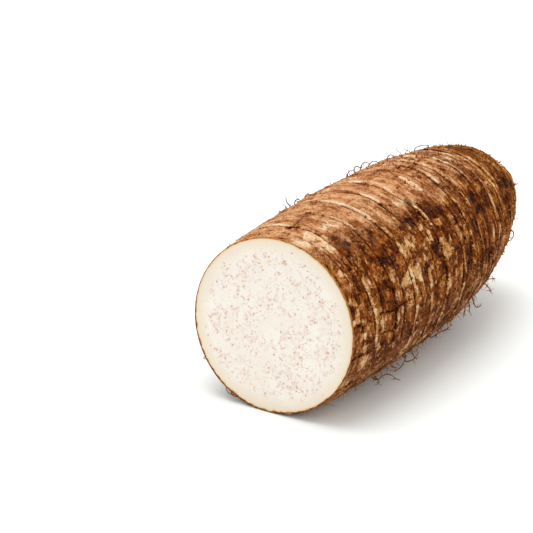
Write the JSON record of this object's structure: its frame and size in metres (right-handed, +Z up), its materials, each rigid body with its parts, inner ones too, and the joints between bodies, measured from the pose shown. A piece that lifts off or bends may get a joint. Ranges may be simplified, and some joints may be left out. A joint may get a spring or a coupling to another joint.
{
  "type": "malanga root",
  "caption": "Cut half of a long starchy root with ringed, fibrous brown skin, fine rootlets and a flat pale cut face, lying on its side.",
  "frame": {"origin": "on the table, on the flat strip that the root rests on, 88 mm from the cut face along the root", "axes": "+Y runs along the root from the cut face to the grown end, +Z points up, away from the table"},
  "size_m": [0.1115, 0.2492, 0.1101],
  "materials": {
    "skin": "rough, fibrous and matt"
  },
  "bodies": {
    "root": {"malanga_root": "skin"}
  },
  "joints": []
}
